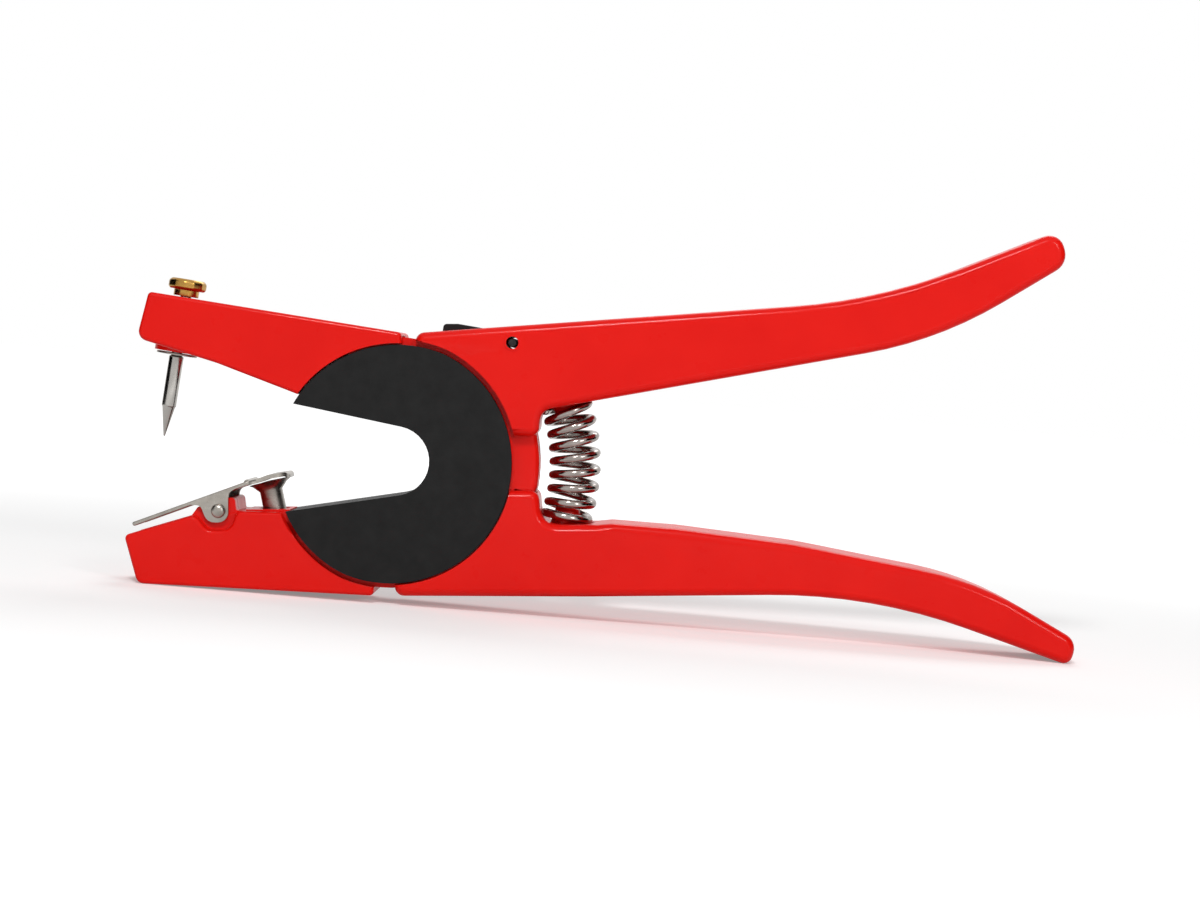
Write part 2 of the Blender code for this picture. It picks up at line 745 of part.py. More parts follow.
def make_throat_plate(name, side, parent, black):
    """A flanged disc with half of the drum and half of the throat's wall."""
    def span(a, b):
        return (min(side * a, side * b), max(side * a, side * b))

    body = disc_edge(name, 0.0, *span(plate_inner_y, plate_outer_y), parent)
    body.hide_render = False
    body.display_type = "TEXTURED"
    body.data.materials.append(black)
    reach = span(web_inner_y, plate_inner_y + clearance)
    drum = cylinder_y(name + "_drum", drum_radius, *reach, (0, 0), parent)
    wall = prism(name + "_wall", throat_outline(throat_wall), *reach, parent)
    keep(wall, disc_edge(name + "_rim", -clearance, *span(0, half_thickness), parent))
    cut(wall, lip_relief(name + "_relief", parent))
    join(body, drum, wall)
    if side < 0:
        join(body, key_solid(name + "_key", 0.0, parent))
    cut(body, prism(name + "_throat", throat_outline(0), -body_thickness, body_thickness, parent))
    cut(body, *screw_holes(name, parent))
    return body


def lip_relief(name, parent):
    """Room in the lower lip for the casting's spring well."""
    right = well_block_shares[1][0] * jaw_reach + clearance
    low = -disc_radius
    corners = [(-2 * disc_radius, 0), (right, 0), (right, low), (-2 * disc_radius, low)]
    return prism(name, corners, -plate_inner_y, plate_inner_y, parent)


def screw_profile(gap):
    """Half of a screw's section along Y, head at the rear, grown by a gap."""
    top = plate_outer_y - clearance
    seat = top - screw_head_height
    shank = screw_shank_radius + gap
    head = screw_head_radius + gap
    tip = -screw_depth - gap
    return tip, shank, seat, head, top


def screw_clearance(name, parent):
    tip, shank, seat, head, top = screw_profile(clearance)
    seat -= clearance
    profile = [(0, tip), (shank, tip), (shank, seat), (head, seat), (head, top + overrun),
               (0, top + overrun)]
    return turned(name, profile, parent, segments=20)


def screw_holes(name, parent):
    """The five screws' clearances, each at its place."""
    holes = []
    for number, angle in enumerate(screw_angles):
        x, z = rotated(screw_circle_radius, 0, angle)
        hole = screw_clearance("%s_screw_hole_%d" % (name, number + 1), parent)
        holes.append(along_y(hole, x, z))
    return holes


def make_throat_screw(number, angle, parent, steel):
    """A screw with a pan head and a round drive recess."""
    tip, shank, seat, head, top = screw_profile(0.0)
    profile = [(0, tip), (0.7 * shank, tip), (shank, tip + 0.3 * shank), (shank, seat),
               (head, seat), (head, 0.5 * (seat + top)), (0.8 * head, top),
               (screw_socket_radius, top), (screw_socket_radius, top - screw_socket_depth),
               (0, top - screw_socket_depth)]
    screw = turned("throat_screw_%d" % number, profile, parent, steel, segments=20)
    return along_y(screw, *rotated(screw_circle_radius, 0, angle))


def make_pin(parent, steel):
    """The applicator pin: a threaded shank with a wider blade that ends in a point."""
    point = -pin_reach
    neck = point + pin_point_length
    top = jaw_top_height() + nut_collar_height + nut_head_height - nut_wall_over_pin
    profile = [(0, point), (pin_point_tip_radius, point), (pin_point_radius, neck),
               (pin_radius, neck), (pin_radius, -clearance), (pin_shank_radius, -clearance),
               (pin_shank_radius, top - clearance), (0, top - clearance)]
    pin = turned("applicator_pin", profile, parent, steel)
    return leaned(pin, pin_foot_x, pin_foot_z, pin_lean_angle())


def make_pin_washer(parent, steel):
    profile = pipe_profile(pin_shank_radius + clearance, washer_radius, 0, washer_thickness)
    washer = turned("pin_washer", profile, parent, steel, segments=32)
    return leaned(washer, pin_foot_x, pin_foot_z, pin_lean_angle())


def make_lock_nut(parent, brass):
    """A flat brass nut with a narrow collar, and a blind hole for the pin's top."""
    low = jaw_top_height() + clearance
    shoulder = low + nut_collar_height - clearance
    top = shoulder + nut_head_height
    bore = pin_shank_radius + clearance
    roof = top - nut_wall_over_pin
    profile = [(0, roof), (bore, roof), (bore, low), (nut_collar_radius, low),
               (nut_collar_radius, shoulder), (nut_head_radius - nut_chamfer, shoulder),
               (nut_head_radius, shoulder + nut_chamfer), (nut_head_radius, top - nut_chamfer),
               (nut_head_radius - nut_chamfer, top), (0, top)]
    nut = turned("pin_lock_nut", profile, parent, brass, segments=nut_sides)
    return leaned(nut, pin_foot_x, pin_foot_z, pin_lean_angle())


def clip_path():
    """The clip's middle line seen from the side, from the front end to the thumb tab's curl."""
    foot_x, foot_z = rotated(0, clip_lift, clip_slope)
    foot = Vector((rivet_x + foot_x, rivet_z + foot_z))
    along = Vector((math.cos(clip_slope), math.sin(clip_slope)))
    front = foot - along * clip_front_share * jaw_reach
    bend = foot + along * clip_rear_share * jaw_reach
    level = bend + Vector((clip_step_length + clip_bend_radius, clip_bend_radius / 2))
    step = level + Vector((clip_step_run / 2, clip_step_rise))
    tab = step + Vector((math.cos(thumb_slope), math.sin(thumb_slope))) * thumb_length
    curl = tab + Vector((math.cos(thumb_curl_slope), math.sin(thumb_curl_slope))) * thumb_curl
    return [front, bend, level, step, tab, curl]


def clip_side():
    """The clip's outline seen from the side, with round bends and ends."""
    path = clip_path()
    upper, lower = [], []
    for i, point in enumerate(path):
        before = path[max(i - 1, 0)]
        after = path[min(i + 1, len(path) - 1)]
        normal = (after - before).normalized().orthogonal()
        normal = normal if normal.y > 0 else -normal
        upper.append(point + normal * clip_metal / 2)
        lower.append(point - normal * clip_metal / 2)
    end = clip_end_share * clip_metal
    corners = [(*upper[0], end)] + [(*p, clip_bend_radius) for p in upper[1:-1]]
    corners += [(*upper[-1], end), (*lower[-1], end)]
    corners += [(*p, clip_bend_radius) for p in reversed(lower[1:-1])] + [(*lower[0], end)]
    return rounded_outline(corners)


def make_clip(parent, steel):
    """A bent sheet with two prongs, two ears on the rivet and a thumb tab."""
    path = clip_path()
    side = clip_side()
    clip = prism("clip_plate", side, -clip_half_width, clip_half_width, parent, steel,
                 clip_edge_share * clip_metal)
    ear = rounded_outline([(rivet_x + x * ear_radius, rivet_z + z * ear_radius, r * ear_radius)
                           for x, z, r in ear_shares])
    for number, sign in enumerate((-1, 1)):
        faces = sorted((sign * clip_half_width, sign * (clip_half_width - clip_metal)))
        join(clip, prism("clip_ear_%d" % (number + 1), ear, *faces, parent))
    bead = rod("clip_bead", bead_radius, -bead_share * clip_half_width,
               bead_share * clip_half_width, parent, segments=16)
    bend = path[1]
    along_y(bead, bend.x, bend.y + clip_metal / 4)
    join(clip, bead)
    cut(clip, clip_slot(parent), thumb_trim("left", 1, parent), thumb_trim("right", -1, parent))
    hole = rod("clip_rivet_hole", rivet_radius + clearance, -body_thickness, body_thickness,
               parent, segments=16)
    cut(clip, along_y(hole, rivet_x, rivet_z))
    return clip


def clip_slot(parent):
    """The gap between the clip's prongs, round at its inner end."""
    front = clip_path()[0].x - overrun
    half = clip_slot_width / 2
    centre = front + overrun + clip_slot_length - half
    outline = arc_points(centre, 0, half, -math.radians(90), math.radians(90))
    outline += [(front, half), (front, -half)]
    bm = bmesh.new()
    bridged(bm, [[(x, y, -hub_half_height) for x, y in outline], [(x, y, 0) for x, y in outline]])
    return new_object("clip_slot", bm, parent)


def thumb_trim(name, sign, parent):
    """What the thumb tab's narrower, rounded side leaves away."""
    path = clip_path()
    start = path[2].x
    end = path[-1].x + overrun
    wide = clip_half_width + overrun
    corner = thumb_corner_share * thumb_half_width
    curve = arc_points(path[-1].x - corner, thumb_half_width - corner, corner, 0,
                       math.radians(90))
    outline = [(end, 0), *curve, (start, thumb_half_width), (start - corner, wide), (end, wide)]
    bm = bmesh.new()
    bridged(bm, [[(x, sign * y, -hub_half_height / 3) for x, y in outline],
                 [(x, sign * y, overrun) for x, y in outline]])
    return new_object("thumb_trim_" + name, bm, parent)


def post_place():
    """The post's top centre, just under the thumb tab's lower face."""
    path = clip_path()
    tab = path[4] - path[3]
    share = (post_top_x - path[3].x) / tab.x
    under = path[3].y + tab.y * share - clip_metal / 2 / math.cos(thumb_slope)
    sink = post_flare_radius * math.tan(abs(post_lean - thumb_slope))
    return post_top_x, under - post_seat_gap - sink


def make_clip_post(parent, steel):
    """A thin tube under the thumb tab, flared at the top, open at the bottom."""
    inner = post_radius - post_wall
    middle = (post_radius + post_flare_radius) / 2
    profile = [(0, -post_roof), (inner, -post_roof), (inner, -post_length),
               (post_radius, -post_length), (post_radius, -post_flare_height),
               (middle, -post_waist_share * post_flare_height), (post_flare_radius, 0), (0, 0)]
    post = turned("clip_post", profile, parent, steel, segments=28)
    leaned(post, *post_place(), -post_lean)
    cut(post, prism("post_relief", inset_outline(clip_side(), -clearance), -clip_half_width,
                    clip_half_width, parent))
    return post


def make_clip_spring(parent, steel):
    """The small spring inside the post, from its roof to the well's floor."""
    x, top = post_place()
    drop = (post_roof + clearance + clip_spring_wire / 2) / math.cos(post_lean)
    drop += clip_spring_radius * math.tan(post_lean)
    well_top = well_block_shares[0][1] * hub_half_height
    floor = well_top - well_depth + clearance + clip_spring_wire / 2
    floor += clip_spring_radius * math.sin(post_lean)
    top_x = x + drop * math.tan(post_lean)
    bottom_x = x + (top - floor) * math.tan(post_lean)
    return straight_spring("clip_spring", (bottom_x, floor), (top_x, top - drop),
                           clip_spring_turns, clip_spring_radius, clip_spring_wire, parent, steel)


def make_clip_rivet(parent, steel):
    """A rivet with two domed heads, through the ears and the jaw."""
    face = clip_half_width + clearance
    arc = [(rivet_head_radius * math.cos(a), face + rivet_head_height * math.sin(a))
           for a in (math.radians(90) * k / 4 for k in range(4))]
    top = face + rivet_head_height
    upper = [(rivet_radius, face), *arc, (0, top)]
    profile = [(r, -h) for r, h in reversed(upper)] + upper
    rivet = turned("clip_rivet", profile, parent, steel, segments=20)
    return along_y(rivet, rivet_x, rivet_z)


def latch_outline(gap):
    """The latch seen from the side; grown by a gap, its corners stay sharp."""
    points = [(latch_pivot_x + x * latch_reach, latch_pivot_z + z * latch_reach,
               r * latch_reach) for x, z, r in latch_shares]
    if gap:
        return inset_outline([(x, z) for x, z, _ in points], -gap)
    return rounded_outline(points)


def make_latch(parent, black):
    """The tab that locks the handles: a lever with a thumb nose and a tooth below it."""
    half = latch_width / 2
    latch = prism("latch_lever", latch_outline(0), -half, half, parent, black,
                  0.06 * latch_width)
    hole = rod("latch_bore", latch_pin_radius + clearance, -latch_width, latch_width, parent)
    cut(latch, along_y(hole, latch_pivot_x, latch_pivot_z))
    return latch


def latch_slot(parent):
    """The slot in the upper handle's top that the latch lies and swings in."""
    half = latch_width / 2 + clearance
    front = latch_pivot_x - latch_reach - 4 * clearance
    rear = latch_pivot_x + 0.16 * latch_reach + 2 * clearance
    floor_rear = latch_pivot_z - 0.16 * latch_reach - 2 * clearance
    floor_mid = latch_pivot_z - 0.02 * latch_reach - latch_tooth_depth - clearance
    mid_x = latch_pivot_x - 0.45 * latch_reach
    floor_front = latch_pivot_z - 0.06 * latch_reach - latch_tooth_depth - 4 * clearance
    top = handle_rise
    corners = [(front, top), (front, floor_front), (mid_x, floor_mid), (mid_x, floor_rear),
               (rear, floor_rear), (rear, top)]
    return prism("latch_slot", corners, -half, half, parent)


def latch_notch(name, turn, parent):
    """A recess in the moving web's rim, where the latch's tooth comes down."""
    half = latch_width / 2 + 2 * clearance
    outline = latch_outline(2 * clearance)
    pressed = [rotated(x - latch_pivot_x, z - latch_pivot_z, latch_press_angle)
               for x, z in outline]
    swept = [rotated(x + latch_pivot_x, z + latch_pivot_z, turn) for x, z in pressed]
    return prism(name, swept, -half, half, parent)


def latch_spring_well(parent):
    x = latch_pivot_x + latch_spring_share * latch_reach
    low = latch_pivot_z - 0.27 * latch_reach
    well = rod("latch_spring_well", latch_spring_well_radius, low, latch_pivot_z, parent)
    return leaned(well, x, 0, 0)


def make_latch_spring(parent, steel):
    """The light spring that lifts the latch."""
    x = latch_pivot_x + latch_spring_share * latch_reach
    low = latch_pivot_z - 0.27 * latch_reach + clearance + latch_spring_wire / 2
    high = latch_pivot_z - 0.085 * latch_reach - clearance - latch_spring_wire / 2
    return straight_spring("latch_spring", (x, low), (x, high), latch_spring_turns,
                           latch_spring_radius, latch_spring_wire, parent, steel)


def make_latch_pin(parent, steel):
    """The pin that the latch turns on, just below both faces."""
    half = half_thickness - latch_pin_recess
    chamfer = 0.2 * latch_pin_radius
    profile = [(0, -half), (latch_pin_radius - chamfer, -half), (latch_pin_radius, -half + chamfer),
               (latch_pin_radius, half - chamfer), (latch_pin_radius - chamfer, half), (0, half)]
    pin = turned("latch_pin", profile, parent, steel, segments=20)
    return along_y(pin, latch_pivot_x, latch_pivot_z)


def resting_tilt():
    """The turn that brings the jaw's front corner and the handle's tip to one level."""
    jaw = outline_from_shares(lower_jaw_shares, jaw_reach, hub_half_height, handle_rounding)
    handle = outline_from_shares(lower_handle_shares, handle_reach, handle_drop, handle_rounding)
    tilt = 0.0
    for _ in range(8):
        front = min(jaw, key=lambda p: rotated(*p, tilt)[1])
        rear = min(handle, key=lambda p: rotated(*p, tilt)[1])
        tilt = -math.atan2(rear[1] - front[1], rear[0] - front[0])
    return tilt


def settle():
    """Turn every solid's modifiers into its mesh, square to the axes, and drop the guides."""
    bpy.context.view_layer.update()
    graph = bpy.context.evaluated_depsgraph_get()
    solids = [obj for obj in bpy.context.scene.objects if obj.modifiers and not obj.hide_render]
    meshes = [bpy.data.meshes.new_from_object(obj.evaluated_get(graph)) for obj in solids]
    for obj, mesh in zip(solids, meshes):
        obj.modifiers.clear()
        obj.data = mesh
    for obj in list(bpy.context.scene.objects):
        if obj.hide_render:
            bpy.data.objects.remove(obj)


def world_bounds():
    """Lowest and highest corners of every visible solid."""
    bpy.context.view_layer.update()
    graph = bpy.context.evaluated_depsgraph_get()
    corners = []
    for obj in bpy.context.scene.objects:
        if obj.type in {"MESH", "CURVE"} and not obj.hide_render:
            seen = obj.evaluated_get(graph)
            mesh = seen.to_mesh()
            corners += [seen.matrix_world @ v.co for v in mesh.vertices]
            seen.to_mesh_clear()
    low = Vector(min(c[i] for c in corners) for i in range(3))
    high = Vector(max(c[i] for c in corners) for i in range(3))
    return low, high


def stand_on_floor(tool):
    """Put the origin under the middle of the whole object, at its lowest point."""
    low, high = world_bounds()
    tool.location -= Vector(((low.x + high.x) / 2, (low.y + high.y) / 2, low.z))
    bpy.context.view_layer.update()


def report_places(places):
    """Print world places of the joints and mounts, in metres."""
    for name, empty in places.items():
        print("%s: %s" % (name, [round(v, 6) for v in empty.matrix_world.translation]))


def main():
    for old in list(bpy.data.objects):
        bpy.data.objects.remove(old)
    red = material("red_paint", (0.78, 0.008, 0.006), 0.32)
    black = material("black_nylon", (0.016, 0.016, 0.017), 0.48)
    steel = material("stainless_steel", (0.55, 0.54, 0.51), 0.28, 1.0)
    bright = material("spring_steel", (0.60, 0.58, 0.56), 0.22, 1.0)
    brass = material("brass", (0.62, 0.40, 0.14), 0.30, 1.0)
    blackened = material("blackened_steel", (0.05, 0.05, 0.05), 0.45, 1.0)

    tool = bpy.data.objects.new("tool", None)
    bpy.context.scene.collection.objects.link(tool)
    jaw_hinge = pivot("jaw_hinge", 0, 0, tool)
    clip_hinge = pivot("clip_hinge", rivet_x, rivet_z, tool)
    latch_hinge = pivot("latch_hinge", latch_pivot_x, latch_pivot_z, tool)

    make_moving_casting(jaw_hinge, red)
    make_fixed_casting(tool, red)
    make_throat_plate("front_throat_plate", -1, tool, black)
    make_throat_plate("rear_throat_plate", 1, tool, black)
    for number, angle in enumerate(screw_angles):
        make_throat_screw(number + 1, angle, tool, steel)
    make_pin(jaw_hinge, steel)
    make_pin_washer(jaw_hinge, steel)
    make_lock_nut(jaw_hinge, brass)
    make_clip(clip_hinge, steel)
    make_clip_post(clip_hinge, steel)
    make_clip_spring(tool, bright)
    make_clip_rivet(tool, steel)
    make_latch(latch_hinge, black)
    make_latch_pin(tool, blackened)
    make_latch_spring(tool, bright)
    make_return_spring(tool, bright)

    settle()
    tool.rotation_euler = (0, -resting_tilt(), 0)
    stand_on_floor(tool)
    report_places({"jaw hinge": jaw_hinge, "clip hinge": clip_hinge, "latch hinge": latch_hinge})
    print("tilt: %.4f degrees" % math.degrees(resting_tilt()))


main()
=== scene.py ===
"""Looks of an ear tag applicator: two red castings, black throat plates, steel and brass fittings."""
import json
import math

import bmesh
import bpy
import numpy as np
from mathutils import Matrix, Vector


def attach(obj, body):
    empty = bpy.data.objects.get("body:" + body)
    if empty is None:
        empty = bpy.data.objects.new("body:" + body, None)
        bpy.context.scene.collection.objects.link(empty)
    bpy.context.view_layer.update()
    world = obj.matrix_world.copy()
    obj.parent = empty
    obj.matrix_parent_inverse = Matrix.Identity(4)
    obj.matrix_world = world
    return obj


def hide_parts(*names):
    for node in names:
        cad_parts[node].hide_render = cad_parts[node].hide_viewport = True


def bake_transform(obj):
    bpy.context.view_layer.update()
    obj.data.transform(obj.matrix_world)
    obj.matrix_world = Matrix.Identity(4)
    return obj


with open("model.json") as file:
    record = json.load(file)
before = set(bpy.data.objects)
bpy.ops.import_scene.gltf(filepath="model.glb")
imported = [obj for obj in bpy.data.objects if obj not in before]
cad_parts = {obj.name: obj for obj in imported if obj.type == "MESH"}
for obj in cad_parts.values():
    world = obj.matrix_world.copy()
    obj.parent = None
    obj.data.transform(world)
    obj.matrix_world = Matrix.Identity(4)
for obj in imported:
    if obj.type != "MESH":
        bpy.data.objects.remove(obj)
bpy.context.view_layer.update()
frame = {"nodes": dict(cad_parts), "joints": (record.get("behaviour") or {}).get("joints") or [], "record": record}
nodes = frame["nodes"]
joints = {joint["name"]: joint for joint in frame["joints"]}

MM = 0.001

# Sizes in mm that several pieces share, the same as the solids have
CLEARANCE = 0.3
JAW_REACH = 69.4
UPPER_JAW_LIFT = 44.8
HUB_HALF_HEIGHT = 34.4
HALF_THICKNESS = 11.0

# Places: the hub's centre, and the tool's own lean on the floor
hub = np.array(joints["jaw_close"]["pos_m"])
TILT = math.radians(4.95)
TOOL_AXES = np.array([[math.cos(TILT), 0, math.sin(TILT)], [0, 1, 0], [-math.sin(TILT), 0, math.cos(TILT)]])


def tool_points(points):
    """Points in mm from the hub (along the tool, across it, up) as points of the row frame."""
    return hub + np.asarray(points, dtype=float) @ TOOL_AXES * MM


def tool_point(x, y, z):
    """One such point as a Blender vector."""
    return Vector(tool_points((x, y, z)))


def leaning(angle):
    """Unit vector of the tool's middle plane that leans from straight up towards the handles."""
    return np.array([math.sin(angle), 0, math.cos(angle)])


# Colour and node helpers
def linear(hex_colour):
    """An sRGB hex colour as linear values with full alpha."""
    channels = [int(hex_colour[i:i + 2], 16) / 255 for i in (1, 3, 5)]
    bent = [c / 12.92 if c <= 0.04045 else ((c + 0.055) / 1.055) ** 2.4 for c in channels]
    return (*bent, 1.0)


def add(tree, kind, settings=None, **links):
    """Add a shader node, set its properties, and fill its inputs with values or outputs."""
    node = tree.nodes.new(kind)
    for name, value in (settings or {}).items():
        setattr(node, name, value)
    for name, value in links.items():
        socket = node.inputs[int(name[1:])] if name[1:].isdigit() else node.inputs[name.replace("_", " ")]
        if isinstance(value, bpy.types.NodeSocket):
            tree.links.new(value, socket)
        else:
            socket.default_value = value
    return node


def finish(name, base, roughness, metallic=0.0, **extra):
    """A Principled material with plain values, which patterns may vary; with its tree and shader."""
    made = bpy.data.materials.new(name)
    made.use_nodes = True
    shader = made.node_tree.nodes["Principled BSDF"]
    shader.inputs["Base Color"].default_value = linear(base)
    shader.inputs["Roughness"].default_value = roughness
    shader.inputs["Metallic"].default_value = metallic
    for socket, value in extra.items():
        shader.inputs[socket.replace("_", " ")].default_value = value
    return made, made.node_tree, shader


def per_mm(size):
    """Texture scale at which a pattern's grain is about so many mm on Object coordinates."""
    return 1 / (size * MM)


def grain(tree, size, stretch=(1, 1, 1), detail=2.0, turn=(0, 0, 0)):
    """Noise of a size in mm, drawn out by whole factors along the object's axes."""
    place = add(tree, "ShaderNodeTexCoord")
    mapping = add(tree, "ShaderNodeMapping", Vector=place.outputs["Object"], Rotation=turn,
                  Scale=tuple(1 / s for s in stretch))
    noise = add(tree, "ShaderNodeTexNoise", Vector=mapping.outputs["Vector"], Scale=per_mm(size),
                Detail=detail, Roughness=0.55)
    return noise.outputs["Fac"]


def spread(tree, value, low, high, start=0.3, end=0.7):
    """Map noise between two levels onto another pair of levels."""
    return add(tree, "ShaderNodeMapRange", Value=value, From_Min=start, From_Max=end,
               To_Min=low, To_Max=high).outputs["Result"]


def tinted(tree, value, dark, light):
    """Blend two hex colours by a noise value."""
    mixed = add(tree, "ShaderNodeMix", {"data_type": "RGBA"}, _0=value, _6=linear(dark), _7=linear(light))
    return mixed.outputs[2]


def raised(tree, shader, height, depth, strength=1.0, below=None):
    """Bump of a depth in mm on a shader, over another bump where one is given."""
    bump = add(tree, "ShaderNodeBump", Height=height, Distance=depth * MM, Strength=strength)
    if below is not None:
        tree.links.new(below, bump.inputs["Normal"])
    tree.links.new(bump.outputs["Normal"], shader.inputs["Normal"])
    return bump.outputs["Normal"]


# Materials
# Cast aluminium under gloss red stoved enamel: an even strong red, a faint orange peel that
# only shows in highlights, and soft swells left by the casting under it.
red_paint, tree, shader = finish("red_stoved_enamel", "#E3150E", 0.3, Coat_Weight=0.16,
                                 Coat_Roughness=0.09, Specular_IOR_Level=0.05)
tree.links.new(tinted(tree, spread(tree, grain(tree, 22.0), 0, 1), "#DF120B", "#E6170F"),
               shader.inputs["Base Color"])
tree.links.new(spread(tree, grain(tree, 6.0, detail=4.0), 0.26, 0.36), shader.inputs["Roughness"])
swell = raised(tree, shader, grain(tree, 9.0, detail=1.0), 0.05, 0.6)
raised(tree, shader, grain(tree, 1.4, detail=1.0), 0.010, 0.7, below=swell)

# Glass filled nylon, moulded with a fine spark texture: deep grey, satin, slightly uneven sheen.
black_nylon, tree, shader = finish("moulded_black_nylon", "#1D1D1D", 0.5, Specular_IOR_Level=0.12)
tree.links.new(tinted(tree, spread(tree, grain(tree, 5.0, detail=3.0), 0, 1), "#191919", "#202020"),
               shader.inputs["Base Color"])
tree.links.new(spread(tree, grain(tree, 2.0, detail=4.0), 0.44, 0.60), shader.inputs["Roughness"])
raised(tree, shader, grain(tree, 0.45, detail=2.0), 0.03, 0.5)

# Stainless sheet and bar, tumbled after stamping: warm grey, with short soft marks one way.
stainless, tree, shader = finish("tumbled_stainless", "#9C9790", 0.3, 1.0)
marks = grain(tree, 0.5, stretch=(14, 1, 1), detail=3.0, turn=(0, math.radians(20), 0))
tree.links.new(tinted(tree, spread(tree, grain(tree, 4.0, detail=3.0), 0, 1), "#8E8982", "#A9A49C"),
               shader.inputs["Base Color"])
tree.links.new(spread(tree, marks, 0.24, 0.40), shader.inputs["Roughness"])
raised(tree, shader, marks, 0.008, 0.5)

# Ground and polished stainless bar of the applicator pin: brighter, with fine turning marks.
pin_steel, tree, shader = finish("ground_pin_steel", "#A6A39E", 0.16, 1.0)
rings = grain(tree, 0.35, stretch=(12, 12, 1), detail=2.0, turn=(0, math.radians(-14.2), 0))
tree.links.new(spread(tree, rings, 0.13, 0.19), shader.inputs["Roughness"])
tree.links.new(tinted(tree, spread(tree, grain(tree, 5.0), 0, 1), "#9C9994", "#AEABA6"),
               shader.inputs["Base Color"])
raised(tree, shader, rings, 0.001, 0.3)

# Drawn spring wire, bright plated: mirror-like, with faint die lines that break reflections.
spring_wire, tree, shader = finish("bright_drawn_wire", "#98908B", 0.14, 1.0)
die_lines = grain(tree, 0.3, detail=3.0)
tree.links.new(spread(tree, die_lines, 0.11, 0.18), shader.inputs["Roughness"])
tree.links.new(tinted(tree, spread(tree, grain(tree, 3.0, detail=3.0), 0, 1), "#8E8681", "#A39B96"),
               shader.inputs["Base Color"])
raised(tree, shader, die_lines, 0.001, 0.3)

# Free-cutting brass, turned and left bare: warm, slightly dulled, with fine tool rings.
brass, tree, shader = finish("turned_brass", "#B08743", 0.24, 1.0)
tool_rings = grain(tree, 0.4, stretch=(14, 14, 1), detail=2.0, turn=(0, math.radians(-14.2), 0))
tree.links.new(tinted(tree, spread(tree, grain(tree, 3.0, detail=4.0), 0, 1), "#A37B3A", "#BC9450"),
               shader.inputs["Base Color"])
tree.links.new(spread(tree, tool_rings, 0.20, 0.28), shader.inputs["Roughness"])
raised(tree, shader, tool_rings, 0.002, 0.4)

# Steel pin, oil blackened: near black with a dull satin and small lighter rubs.
blackened, tree, shader = finish("oil_blackened_steel", "#2A2A2A", 0.42, 1.0)
tree.links.new(tinted(tree, spread(tree, grain(tree, 1.2, detail=4.0), 0, 1), "#1E1E1E", "#3A3938"),
               shader.inputs["Base Color"])
tree.links.new(spread(tree, grain(tree, 0.8, detail=3.0), 0.36, 0.52), shader.inputs["Roughness"])

looks = {"red_paint": red_paint, "black_nylon": black_nylon, "stainless_steel": stainless,
         "spring_steel": spring_wire, "brass": brass, "blackened_steel": blackened}
slot_of = {sub["node"]: sub["material_slot"] for sub in frame["record"]["subparts"]}
body_of = {node: body for body, members in frame["record"]["behaviour"]["bodies"].items()
           for node in members}


# Mesh helpers
MERGE_DISTANCE = 0.002
FLAT_ANGLE = math.radians(0.6)
NORMAL_WEIGHT = 70
EDGE_STEPS = 2
EASE_LIMIT_SHARE = 0.45


def place_piece(name, mesh, node, look=None):
    """Put a finished mesh in the scene with the given look, or else the look of its node's slot, and hide the CAD
    node that it replaces.
    """
    piece = bpy.data.objects.new(name, mesh)
    bpy.context.scene.collection.objects.link(piece)
    mesh.materials.clear()
    mesh.materials.append(look or looks[slot_of[node]])
    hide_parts(node)
    return piece


def cleaned(bm, name):
    """Merge a bmesh's doubles, face it outwards and hand it over as a smooth mesh."""
    bmesh.ops.remove_doubles(bm, verts=bm.verts, dist=MERGE_DISTANCE * MM)
    bmesh.ops.dissolve_degenerate(bm, edges=bm.edges, dist=MERGE_DISTANCE * MM)
    bmesh.ops.recalc_face_normals(bm, faces=bm.faces)
    mesh = bpy.data.meshes.new(name)
    bm.to_mesh(mesh)
    bm.free()
    mesh.shade_smooth()
    return mesh


def smoothed(node, edge=0.0, sharp=40.0):
    """A merged copy of a CAD node with its flat faces whole, small bevels and even shading."""
    bm = bmesh.new()
    bm.from_mesh(nodes[node].data)
    bmesh.ops.remove_doubles(bm, verts=bm.verts, dist=MERGE_DISTANCE * MM)
    bmesh.ops.dissolve_limit(bm, angle_limit=FLAT_ANGLE, verts=bm.verts, edges=bm.edges,
                             delimit={"NORMAL"})
    mesh = cleaned(bm, node + "_dressed")
    piece = place_piece(node + "_dressed", mesh, node)
    if edge:
        bevel = piece.modifiers.new("edge", "BEVEL")
        bevel.width = edge * MM
        bevel.segments = EDGE_STEPS
        bevel.limit_method = "ANGLE"
        bevel.angle_limit = math.radians(sharp)
    else:
        mesh.set_sharp_from_angle(angle=math.radians(sharp))
    even = piece.modifiers.new("even", "WEIGHTED_NORMAL")
    even.keep_sharp = True
    even.weight = NORMAL_WEIGHT
    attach(piece, body_of[node])


def grid_mesh(name, grid):
    """A mesh over a grid of points (rows, columns, xyz), whose rows close on themselves."""
    rows, columns, _ = grid.shape
    ids = np.arange(rows * columns).reshape(rows, columns)
    ids = np.concatenate([ids, ids[:, :1]], axis=1)
    quads = np.stack([ids[:-1, :-1], ids[:-1, 1:], ids[1:, 1:], ids[1:, :-1]], axis=-1)
    mesh = bpy.data.meshes.new(name)
    mesh.from_pydata(grid.reshape(-1, 3).tolist(), [], quads.reshape(-1, 4).tolist())
    bm = bmesh.new()
    bm.from_mesh(mesh)
    bpy.data.meshes.remove(mesh)
    return cleaned(bm, name)


